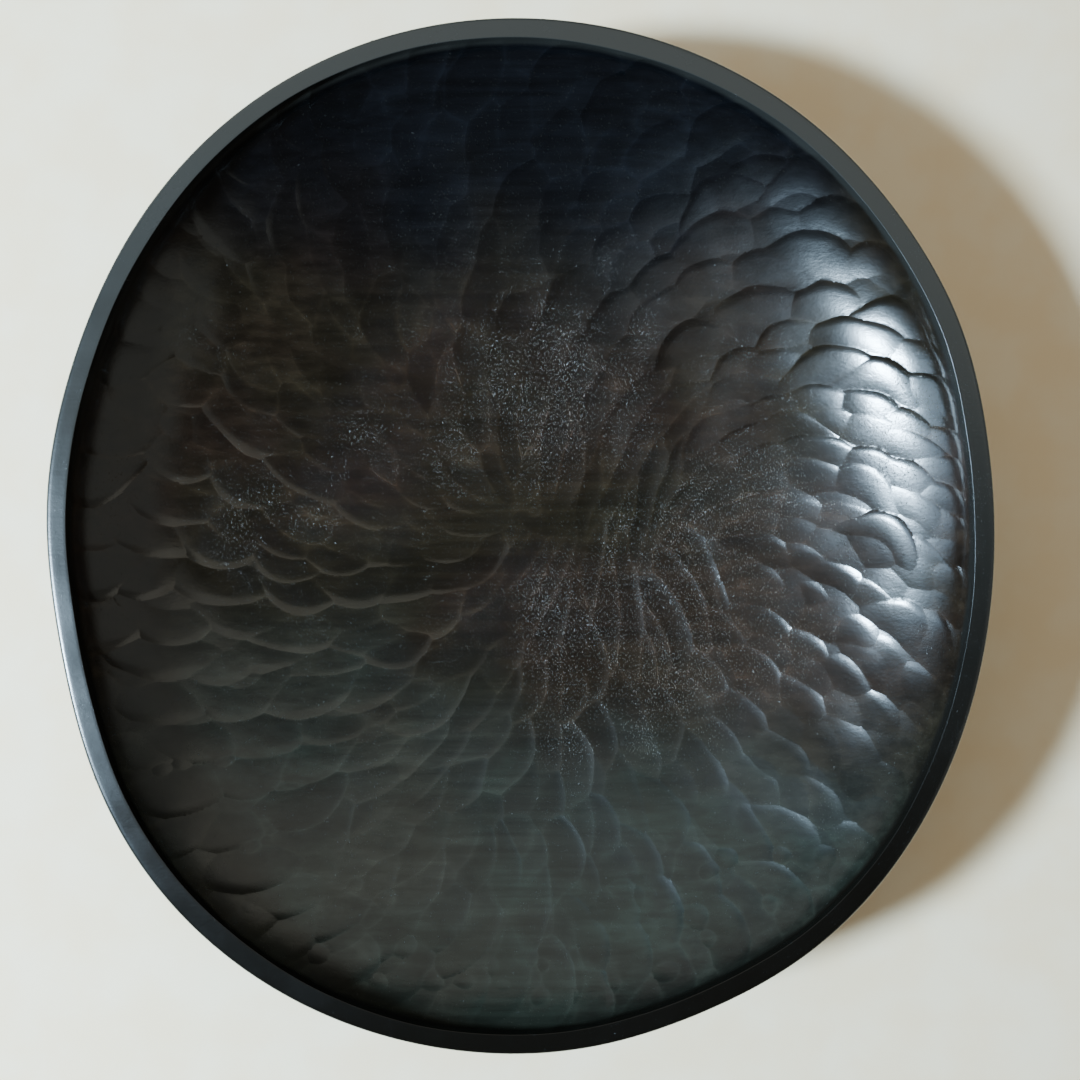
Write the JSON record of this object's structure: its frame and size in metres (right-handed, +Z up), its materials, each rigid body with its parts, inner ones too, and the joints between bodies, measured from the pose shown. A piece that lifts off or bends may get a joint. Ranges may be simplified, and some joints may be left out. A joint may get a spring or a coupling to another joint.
{
  "type": "carved wooden bowl",
  "caption": "Large shallow hand-carved bowl in black-stained wood, with a flat rim, an uneven rounded outline and gouge cuts all over its hollow.",
  "frame": {"origin": "middle of the rim's outline, on the surface that the foot rests on", "axes": "+Z up out of the hollow, +Y along the longer axis of the rim, +X across it"},
  "size_m": [0.4, 0.437, 0.08],
  "materials": {
    "black_wood": "black-stained open-pored wood, waxed to a satin sheen"
  },
  "bodies": {
    "root": {"bowl": "black_wood"}
  },
  "joints": []
}
